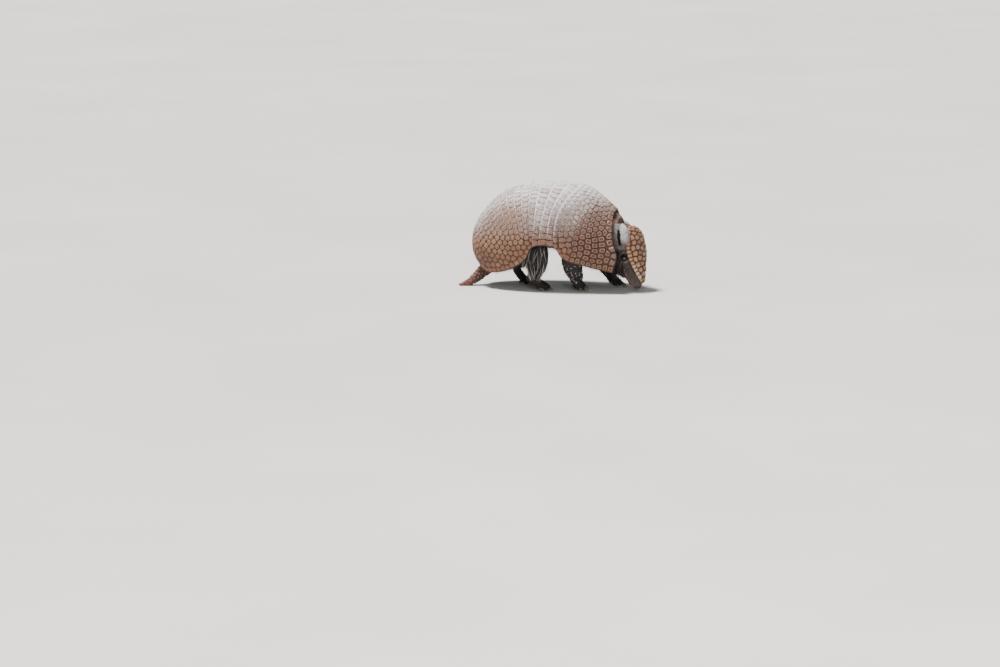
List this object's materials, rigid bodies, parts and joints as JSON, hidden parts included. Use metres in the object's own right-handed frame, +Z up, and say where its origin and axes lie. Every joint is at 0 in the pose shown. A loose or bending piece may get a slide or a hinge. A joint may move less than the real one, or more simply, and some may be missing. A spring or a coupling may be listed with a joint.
{
  "type": "three-banded armadillo",
  "caption": "Still, life-size armadillo model: banded domed shell, shielded head nosing the ground, cupped ears, clawed feet and a short stout tail, walking.",
  "frame": {"origin": "on the ground, under the middle of the model's bounding box", "axes": "+X forward along the body towards the head, +Y to the animal's left, +Z up; z = 0 is the ground"},
  "size_m": [0.2484, 0.1092, 0.1403],
  "materials": {
    "scutes": "dry horny scutes, pale grey on the back and orange-brown low on the sides",
    "crown_scutes": "dry horny scutes, brown with orange margins",
    "hide": "dark wrinkled skin with small scales and sparse pale bristles",
    "ear_skin": "granular grey skin",
    "tail_skin": "hard pinkish-brown tubercles",
    "claw_horn": "worn horn",
    "eyeball": "wet black"
  },
  "bodies": {
    "root": {"shell_pelvic": "scutes", "shell_band_rear": "scutes", "shell_band_middle": "scutes", "shell_band_front": "scutes", "shell_scapular": "scutes", "trunk": "hide", "tail": "tail_skin", "head": "hide", "head_shield": "crown_scutes", "eye_left": "eyeball", "ear_left": "ear_skin", "eye_right": "eyeball", "ear_right": "ear_skin", "neck": "hide", "hindleg_right": "hide", "hindfoot_right": "hide", "hindclaw_right_1": "claw_horn", "hindclaw_right_2": "claw_horn", "hindclaw_right_3": "claw_horn", "hindclaw_right_4": "claw_horn", "hindclaw_right_5": "claw_horn", "hindleg_left": "hide", "hindfoot_left": "hide", "hindclaw_left_1": "claw_horn", "hindclaw_left_2": "claw_horn", "hindclaw_left_3": "claw_horn", "hindclaw_left_4": "claw_horn", "hindclaw_left_5": "claw_horn", "foreleg_right": "hide", "forefoot_right": "hide", "foreclaw_right_1": "claw_horn", "foreclaw_right_2": "claw_horn", "foreclaw_right_3": "claw_horn", "foreclaw_right_4": "claw_horn", "foreleg_left": "hide", "forefoot_left": "hide", "foreclaw_left_1": "claw_horn", "foreclaw_left_2": "claw_horn", "foreclaw_left_3": "claw_horn", "foreclaw_left_4": "claw_horn"}
  },
  "joints": []
}
